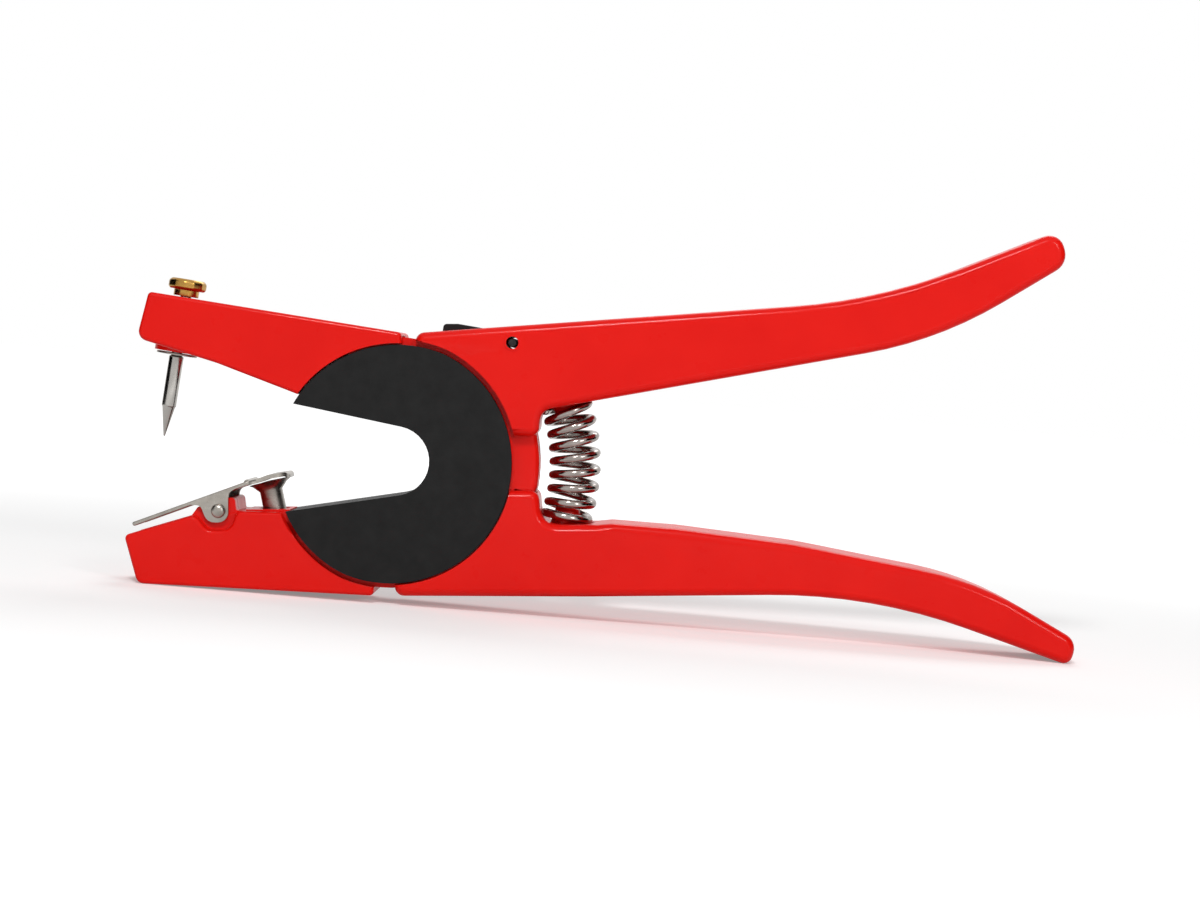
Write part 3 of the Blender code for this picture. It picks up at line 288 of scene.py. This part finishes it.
def eased(profile, radius, steps=5):
    """A profile with each inner corner replaced by a curve: a quadratic through its two feet."""
    profile = np.asarray(profile, dtype=float)
    made = [profile[:1]]
    t = np.linspace(0, 1, steps)[:, None]
    for before, here, after in zip(profile[:-2], profile[1:-1], profile[2:]):
        back, ahead = before - here, after - here
        shorter = min(np.linalg.norm(back), np.linalg.norm(ahead))
        reach = min(radius, EASE_LIMIT_SHARE * shorter)
        foot = here + back / np.linalg.norm(back) * reach
        end = here + ahead / np.linalg.norm(ahead) * reach
        made.append((1 - t) ** 2 * foot + 2 * t * (1 - t) * here + t ** 2 * end)
    made.append(profile[-1:])
    return np.concatenate(made)


def turned(node, profile, foot, axis, sides=72, shape=None, look=None, sharp=45.0):
    """A (radius, height) profile turned about an axis through a foot, both in tool mm.

    Point = foot + axis * height + radius * (cos a * first + sin a * second), where the last
    two are square to the axis; shape(a, radius, height) may change the radius.
    """
    axis = np.asarray(axis, dtype=float)
    first = np.cross(axis, (0, 1, 0)) if abs(axis[1]) < 0.9 else np.array([1.0, 0, 0])
    first /= np.linalg.norm(first)
    second = np.cross(axis, first)
    angle = np.arange(sides) * math.tau / sides
    radius, height = np.asarray(profile)[:, :1], np.asarray(profile)[:, 1:2]
    wide = np.broadcast_to(radius, (len(radius), sides))
    if shape is not None:
        wide = shape(angle[None, :], radius, height)
    out = np.cos(angle)[None, :, None] * first + np.sin(angle)[None, :, None] * second
    grid = np.asarray(foot) + height[:, :, None] * axis + wide[:, :, None] * out
    mesh = grid_mesh(node + "_turned", tool_points(grid))
    mesh.set_sharp_from_angle(angle=math.radians(sharp))
    piece = place_piece(node + "_turned", mesh, node, look)
    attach(piece, body_of[node])


# How a wire's end closes: three rings' radius and place along it, as shares of its thickness
END_SIZE_SHARES = np.array([0.0, 0.78, 0.95])
END_PLACE_SHARES = np.array([0.0, 0.0, 0.04])
END_FULL_SHARE = 0.12


def wire(node, centres, outward, thickness, sides=16):
    """A round wire along a path of points in tool mm, its ends ground flat and eased.

    Ring point = centre + half thickness * (cos a * normal + sin a * binormal), where the
    normal is the given outward direction made square to the path.
    """
    along = np.gradient(centres, axis=0)
    along /= np.linalg.norm(along, axis=1, keepdims=True)
    normal = outward - (outward * along).sum(axis=1, keepdims=True) * along
    normal /= np.linalg.norm(normal, axis=1, keepdims=True)
    binormal = np.cross(along, normal)
    size = np.full(len(centres), thickness / 2)
    size = np.concatenate([END_SIZE_SHARES * thickness / 2, size, END_SIZE_SHARES[::-1] * thickness / 2])
    centres = np.concatenate([centres[[0, 0, 0]], centres, centres[[-1, -1, -1]]])
    centres[:3] += along[0] * END_PLACE_SHARES[:, None] * thickness
    centres[-3:] -= along[-1] * END_PLACE_SHARES[::-1, None] * thickness
    centres[3] += along[0] * END_FULL_SHARE * thickness
    centres[-4] -= along[-1] * END_FULL_SHARE * thickness
    normal = np.concatenate([normal[[0, 0, 0]], normal, normal[[-1, -1, -1]]])
    binormal = np.concatenate([binormal[[0, 0, 0]], binormal, binormal[[-1, -1, -1]]])
    angle = np.arange(sides) * math.tau / sides
    ring = np.cos(angle)[None, :, None] * normal[:, None] + np.sin(angle)[None, :, None] * binormal[:, None]
    grid = centres[:, None] + size[:, None, None] * ring
    mesh = grid_mesh(node + "_coil", tool_points(grid))
    return place_piece(node + "_coil", mesh, node)


def flat_sided(angle, sides):
    """Radius of a polygon in a unit circle: its apothem over the cosine of the angle from a flat."""
    half = math.pi / sides
    return np.cos(half) / np.cos((angle % (2 * half)) - half)


# Castings, plates and sheet pieces: merged copies with even shading
for casting in ("upper_jaw_casting", "lower_jaw_casting"):
    smoothed(casting, sharp=32.0)
for plate in ("front_throat_plate", "rear_throat_plate"):
    smoothed(plate, edge=0.28)
smoothed("latch_lever")
smoothed("clip_plate", sharp=35.0)
smoothed("clip_post")

# Pin, washer and nut on the pin's axis, which stands square to the upper jaw's top
JAW_TOP_FRONT_SHARES = (-0.919, 1.010)
JAW_TOP_BACK_SHARES = (0.043, 0.768)
PIN_FOOT_SHARES = (-0.8415, 0.6384)
jaw_top_rise = (JAW_TOP_FRONT_SHARES[1] - JAW_TOP_BACK_SHARES[1]) * UPPER_JAW_LIFT
jaw_top_run = (JAW_TOP_BACK_SHARES[0] - JAW_TOP_FRONT_SHARES[0]) * JAW_REACH
pin_axis = leaning(math.atan2(jaw_top_rise, jaw_top_run))
pin_foot = np.array([PIN_FOOT_SHARES[0] * JAW_REACH, 0, PIN_FOOT_SHARES[1] * UPPER_JAW_LIFT])

# Heights run along the pin's axis from its foot, where the washer seats.
PIN_REACH, PIN_RADIUS, PIN_EASE = 22.1, 1.95, 0.25
POINT_LENGTH, POINT_RADIUS, POINT_SHOULDER = 8.0, 1.72, 0.25
TIP_RADIUS, NOSE_RADIUS, NOSE_HEIGHT = 0.25, 0.16, 0.06
SHANK_RADIUS, SHANK_STEP_LOW, SHANK_STEP_TOP = 1.5, 0.45, 0.3
JAW_TOP, SHANK_OVER_JAW = 15.57, 3.6
point, neck, shank_end = -PIN_REACH, POINT_LENGTH - PIN_REACH, JAW_TOP + SHANK_OVER_JAW
pin_profile = np.concatenate([
    [(0, point), (NOSE_RADIUS, point + NOSE_HEIGHT)],
    eased([(TIP_RADIUS, point + TIP_RADIUS), (POINT_RADIUS, neck), (PIN_RADIUS, neck + POINT_SHOULDER),
           (PIN_RADIUS, -SHANK_STEP_LOW), (SHANK_RADIUS, -SHANK_STEP_TOP), (SHANK_RADIUS, shank_end),
           (0, shank_end)], PIN_EASE)])
turned("applicator_pin", pin_profile, pin_foot, pin_axis, look=pin_steel, sharp=60.0)

WASHER_BORE, WASHER_RADIUS, WASHER_THICKNESS = SHANK_RADIUS + CLEARANCE, 5.35, 0.5
WASHER_EASE = 0.12
washer_profile = eased([(WASHER_BORE, WASHER_THICKNESS / 2), (WASHER_BORE, 0), (WASHER_RADIUS, 0),
                        (WASHER_RADIUS, WASHER_THICKNESS), (WASHER_BORE, WASHER_THICKNESS),
                        (WASHER_BORE, WASHER_THICKNESS / 2)], WASHER_EASE)
turned("pin_washer", washer_profile, pin_foot, pin_axis)

NUT_SIDES, FACET_SHARE, FACETS_FROM_RADIUS = 12, 0.65, 4.2
NUT_BORE, NUT_ROOF, NUT_COLLAR = SHANK_RADIUS + CLEARANCE, 0.9, 3.35
NUT_COLLAR_EASE, NUT_NECK = 0.15, 0.2
NUT_HEAD, NUT_HEAD_EASE, NUT_HEAD_LOW, NUT_HEAD_HIGH = 5.1, 0.42, 2.0, 4.9
NUT_UNDER_RUN, NUT_UNDER_RISE, NUT_CHAMFER = 0.5, 0.55, 0.75


def soft_facets(angle, radius, height):
    """Radius drawn part of the way towards twelve flats, only on the nut's wide head."""
    drawn = 1 - FACET_SHARE + FACET_SHARE * flat_sided(angle, NUT_SIDES)
    return radius * np.where(radius > FACETS_FROM_RADIUS, drawn, 1.0)


nut_low, shoulder, nut_top = JAW_TOP + CLEARANCE, JAW_TOP + NUT_HEAD_LOW, JAW_TOP + NUT_HEAD_HIGH
nut_profile = np.concatenate([
    eased([(0, nut_top - NUT_ROOF), (NUT_BORE, nut_top - NUT_ROOF), (NUT_BORE, nut_low),
           (NUT_COLLAR, nut_low), (NUT_COLLAR, shoulder)], NUT_COLLAR_EASE)[:-1],
    eased([(NUT_COLLAR, shoulder - NUT_NECK), (NUT_COLLAR, shoulder), (NUT_HEAD - NUT_UNDER_RUN, shoulder),
           (NUT_HEAD, shoulder + NUT_UNDER_RISE), (NUT_HEAD, nut_top - NUT_CHAMFER),
           (NUT_HEAD - NUT_CHAMFER, nut_top), (0, nut_top)], NUT_HEAD_EASE)])
turned("pin_lock_nut", nut_profile, pin_foot, pin_axis, sides=144, shape=soft_facets)

# Rivet, latch pin and throat screws across the tool
ACROSS = (0, 1, 0)
RIVET_SHARES = (-0.660, -0.372)
RIVET_FACE, RIVET_RADIUS, RIVET_HEAD, RIVET_DOME, DOME_POINTS = 9.9, 1.0, 1.87, 1.0, 12
rivet_place = np.array([RIVET_SHARES[0] * JAW_REACH, 0, RIVET_SHARES[1] * HUB_HALF_HEIGHT])
dome = np.linspace(0, math.pi / 2, DOME_POINTS)
head = np.stack([RIVET_HEAD * np.cos(dome), RIVET_FACE + RIVET_DOME * np.sin(dome)], axis=1)
half = np.concatenate([[(RIVET_RADIUS, RIVET_FACE)], head])
turned("clip_rivet", np.concatenate([half[::-1] * (1, -1), half]), rivet_place, ACROSS, sharp=70.0)

LATCH_PIN_PLACE = (32.25, 0, 31.7)
LATCH_PIN_RADIUS, LATCH_PIN_RECESS, LATCH_PIN_EASE = 1.2, 0.6, 0.3
pin_end = HALF_THICKNESS - LATCH_PIN_RECESS
latch_pin_profile = eased([(0, -pin_end), (LATCH_PIN_RADIUS, -pin_end), (LATCH_PIN_RADIUS, pin_end),
                           (0, pin_end)], LATCH_PIN_EASE)
turned("latch_pin", latch_pin_profile, LATCH_PIN_PLACE, ACROSS, sharp=60.0)

SCREW_CIRCLE, SCREW_DEGREES = 16.5, (0, 60, 110, 250, 300)
SCREW_TOP, SCREW_TIP, SCREW_SHANK, SCREW_TIP_CHAMFER = 10.1, -4.5, 1.4, 0.42
SCREW_HEAD, SCREW_HEAD_HEIGHT, CROWN_RUN, CROWN_FALL, SCREW_EASE = 2.6, 1.5, 0.6, 0.55, 0.35
SOCKET_MOUTH, SOCKET_RADIUS, SOCKET_CHAMFER, SOCKET_DEPTH = 1.15, 1.08, 0.06, 0.8
SOCKET_SIDES, SOCKET_WITHIN = 6, 1.2


def key_socket(angle, radius, height):
    """Radius of the screw's drive recess drawn to six flats, and of the rest left round."""
    inside = (radius < SOCKET_WITHIN) & (height > SCREW_TOP / 2)
    return radius * np.where(inside, flat_sided(angle, SOCKET_SIDES), 1.0)


screw_profile = np.concatenate([
    [(0, SCREW_TIP)],
    eased([(SCREW_SHANK - SCREW_TIP_CHAMFER, SCREW_TIP), (SCREW_SHANK, SCREW_TIP + SCREW_TIP_CHAMFER),
           (SCREW_SHANK, SCREW_TOP - SCREW_HEAD_HEIGHT), (SCREW_HEAD, SCREW_TOP - SCREW_HEAD_HEIGHT),
           (SCREW_HEAD, SCREW_TOP - CROWN_FALL), (SCREW_HEAD - CROWN_RUN, SCREW_TOP),
           (SOCKET_MOUTH, SCREW_TOP)], SCREW_EASE),
    [(SOCKET_RADIUS, SCREW_TOP - SOCKET_CHAMFER), (SOCKET_RADIUS, SCREW_TOP - SOCKET_DEPTH),
     (0, SCREW_TOP - SOCKET_DEPTH)]])
for number, degrees in enumerate(SCREW_DEGREES, start=1):
    around = math.radians(degrees)
    screw_place = np.array([SCREW_CIRCLE * math.cos(around), 0, SCREW_CIRCLE * math.sin(around)])
    turned("throat_screw_%d" % number, screw_profile, screw_place, ACROSS, shape=key_socket, sharp=50.0)

# Springs: coils drawn at rest, each between the two bodies it stands between
PATH_RADIUS, SPRING_OUTER, SPRING_WIRE = 48.6, 7.0, 2.35
SPRING_TURNS, SPRING_PHASE, END_TURNS, END_PITCH = 8, 0.5, 0.75, 3.3
SEAT_ANGLE = math.radians(20.3)
END_ANGLE = SEAT_ANGLE - (SPRING_WIRE / 2 + CLEARANCE) / PATH_RADIUS
POINTS_A_TURN = 48

turn = np.linspace(0, SPRING_TURNS, SPRING_TURNS * POINTS_A_TURN + 1)
whole = 2 * END_ANGLE * PATH_RADIUS
middle_pitch = (whole - 2 * END_TURNS * END_PITCH) / (SPRING_TURNS - 2 * END_TURNS)
pitch = np.where(np.minimum(turn, SPRING_TURNS - turn) < END_TURNS, END_PITCH, middle_pitch)
height = np.concatenate([[0], np.cumsum((pitch[:-1] + pitch[1:]) / 2 * np.diff(turn))])
along_path = END_ANGLE * (2 * height / height[-1] - 1)
winding = math.tau * (turn + SPRING_PHASE)
coil_radius = SPRING_OUTER - SPRING_WIRE / 2
reach = PATH_RADIUS + coil_radius * np.cos(winding)
spring_centres = np.stack([reach * np.cos(along_path), coil_radius * np.sin(winding),
                           reach * np.sin(along_path)], axis=1)
path_middle = PATH_RADIUS * np.stack([np.cos(along_path), 0 * turn, np.sin(along_path)], axis=1)
return_spring = wire("return_spring", spring_centres, spring_centres - path_middle, SPRING_WIRE, sides=20)
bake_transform(return_spring)

SMALL_POINTS_A_TURN = 40


def small_spring(node, low, high, turns, radius, thickness):
    """A straight coil between two points of the middle plane, in tool mm.

    Centre = low + axis * t + radius * (cos a * side + sin a * across), a growing with t.
    """
    low, high = np.array([low[0], 0, low[1]]), np.array([high[0], 0, high[1]])
    axis = high - low
    side = np.cross(axis, (0, 1, 0))
    side /= np.linalg.norm(side)
    share = np.linspace(0, 1, int(turns * SMALL_POINTS_A_TURN) + 1)
    angle = math.tau * turns * share
    middle = low + axis * share[:, None]
    out = radius * (np.cos(angle)[:, None] * side + np.sin(angle)[:, None] * np.array([0, 1.0, 0]))
    return wire(node, middle + out, out, thickness, sides=12)


# Each: node, body at its far end, near end, far end, turns, coil radius, wire thickness
SMALL_SPRINGS = (
    ("clip_spring", "clip_body", (-31.31, -17.08), (-33.13, -8.06), 7, 1.9, 0.6),
    ("latch_spring", "latch_body", (24.65, 27.07), (24.65, 29.585), 2.5, 1.6, 0.4),
)
for node, far_body, low, high, turns, radius, thickness in SMALL_SPRINGS:
    coil = small_spring(node, low, high, turns, radius, thickness)
    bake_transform(coil)

# Floor, backdrop and lamps, in metres
FLOOR_HALF = 6.0
CORNER_SIGNS = ((-1, -1), (1, -1), (1, 1), (-1, 1))
mesh = bpy.data.meshes.new("floor")
mesh.from_pydata([(a * FLOOR_HALF, b * FLOOR_HALF, 0) for a, b in CORNER_SIGNS], [], [(0, 1, 2, 3)])
floor = bpy.data.objects.new("floor", mesh)
bpy.context.scene.collection.objects.link(floor)


def backdrop_rays(tree):
    """1 for rays that show the white backdrop: seen straight, mirrored or through glass."""
    path = add(tree, "ShaderNodeLightPath")
    mirrored = add(tree, "ShaderNodeMath", {"operation": "MAXIMUM"}, _0=path.outputs["Is Camera Ray"],
                   _1=path.outputs["Is Glossy Ray"])
    either = add(tree, "ShaderNodeMath", {"operation": "MAXIMUM"}, _0=mirrored.outputs[0],
                 _1=path.outputs["Is Transmission Ray"])
    return either.outputs[0]


# White card: takes the shadow, and is lifted to the white of the backdrop where it is seen.
floor_card, tree, shader = finish("white_card", "#EDEDED", 0.95, Specular_IOR_Level=0.0)
place = add(tree, "ShaderNodeTexCoord")
away = add(tree, "ShaderNodeVectorMath", {"operation": "LENGTH"}, _0=place.outputs["Object"])
rise = add(tree, "ShaderNodeMapRange", {"interpolation_type": "SMOOTHSTEP"}, Value=away.outputs["Value"],
           From_Min=0.15, From_Max=0.80, To_Min=0.24, To_Max=0.75)
glow = add(tree, "ShaderNodeMath", {"operation": "MULTIPLY"}, _0=backdrop_rays(tree), _1=rise.outputs[0])
lift = add(tree, "ShaderNodeEmission", Color=(1, 1, 1, 1), Strength=glow.outputs[0])
both = add(tree, "ShaderNodeAddShader", _0=shader.outputs[0], _1=lift.outputs[0])
tree.links.new(both.outputs[0], tree.nodes["Material Output"].inputs["Surface"])
mesh.materials.append(floor_card)

# Studio: a white backdrop where it is seen, a soft even light elsewhere.
world = bpy.data.worlds.new("studio")
bpy.context.scene.world = world
world.use_nodes = True
tree = world.node_tree
soft = tree.nodes["Background"]
soft.inputs["Color"].default_value = (1, 1, 1, 1)
soft.inputs["Strength"].default_value = 0.40
white = add(tree, "ShaderNodeBackground", Color=(1, 1, 1, 1), Strength=1.0)
shown = add(tree, "ShaderNodeMixShader", _0=backdrop_rays(tree), _1=soft.outputs[0], _2=white.outputs[0])
tree.links.new(shown.outputs[0], tree.nodes["World Output"].inputs["Surface"])


def softbox(name, place, target, size, power):
    """A square lamp at a place, turned to a target."""
    lamp = bpy.data.lights.new(name, "AREA")
    lamp.shape = "SQUARE"
    lamp.size = size
    lamp.energy = power
    obj = bpy.data.objects.new(name, lamp)
    bpy.context.scene.collection.objects.link(obj)
    obj.location = place
    obj.rotation_euler = (Vector(target) - Vector(place)).to_track_quat("-Z", "Y").to_euler()


AIM = (0, 0, 0.05)
softbox("key", (-0.10, -0.70, 0.75), AIM, 0.17, 4.4)
softbox("fill", (0.50, -0.80, 0.40), AIM, 0.22, 2.0)
softbox("rear", (0.15, 0.70, 0.75), AIM, 0.50, 2.8)

FLAG_NEAR, FLAG_FAR, FLAG_HEIGHT = -0.55, 0.40, 0.9
black_card = finish("black_card", "#080808", 0.9, Specular_IOR_Level=0.0)[0]
# Black cards beside the tool give round bright metal its dark sides, and aren't seen themselves.
for name, x in (("left_flag", -0.75), ("right_flag", 0.75)):
    card = bpy.data.meshes.new(name)
    card.from_pydata([(x, FLAG_NEAR, 0), (x, FLAG_FAR, 0), (x, FLAG_FAR, FLAG_HEIGHT),
                      (x, FLAG_NEAR, FLAG_HEIGHT)], [], [(0, 1, 2, 3)])
    card.materials.append(black_card)
    flag = bpy.data.objects.new(name, card)
    flag.visible_camera = False
    bpy.context.scene.collection.objects.link(flag)

# Camera: square to the tool's front, turned with its lean
PIXEL = 0.2637
EYE_PIXEL = (620, 375)
EYE_DISTANCE = 600.0
HUB_PIXEL = (390, 463)
IMAGE = (1200, 900)


def from_pixel(px, py, y=-HALF_THICKNESS):
    """The point of the tool's front face that an image point of the photograph shows."""
    return tool_point((px - HUB_PIXEL[0]) * PIXEL, y, (HUB_PIXEL[1] - py) * PIXEL)


camera_data = bpy.data.cameras.new("camera")
camera_data.sensor_width = 36.0
camera = bpy.data.objects.new("camera", camera_data)
bpy.context.scene.collection.objects.link(camera)
eye = from_pixel(*EYE_PIXEL, y=-HALF_THICKNESS - EYE_DISTANCE)
aim = from_pixel(IMAGE[0] / 2, IMAGE[1] / 2)
camera_data.lens = camera_data.sensor_width * (aim - eye).length / (IMAGE[0] * PIXEL * MM)
back = (eye - aim).normalized()
up = tool_point(0, 0, 1) - tool_point(0, 0, 0)
side = up.cross(back).normalized()
top = back.cross(side)
camera.matrix_world = Matrix.Translation(eye) @ Matrix((side, top, back)).transposed().to_4x4()
bpy.context.scene.camera = camera
bpy.context.scene.view_settings.view_transform = "Standard"
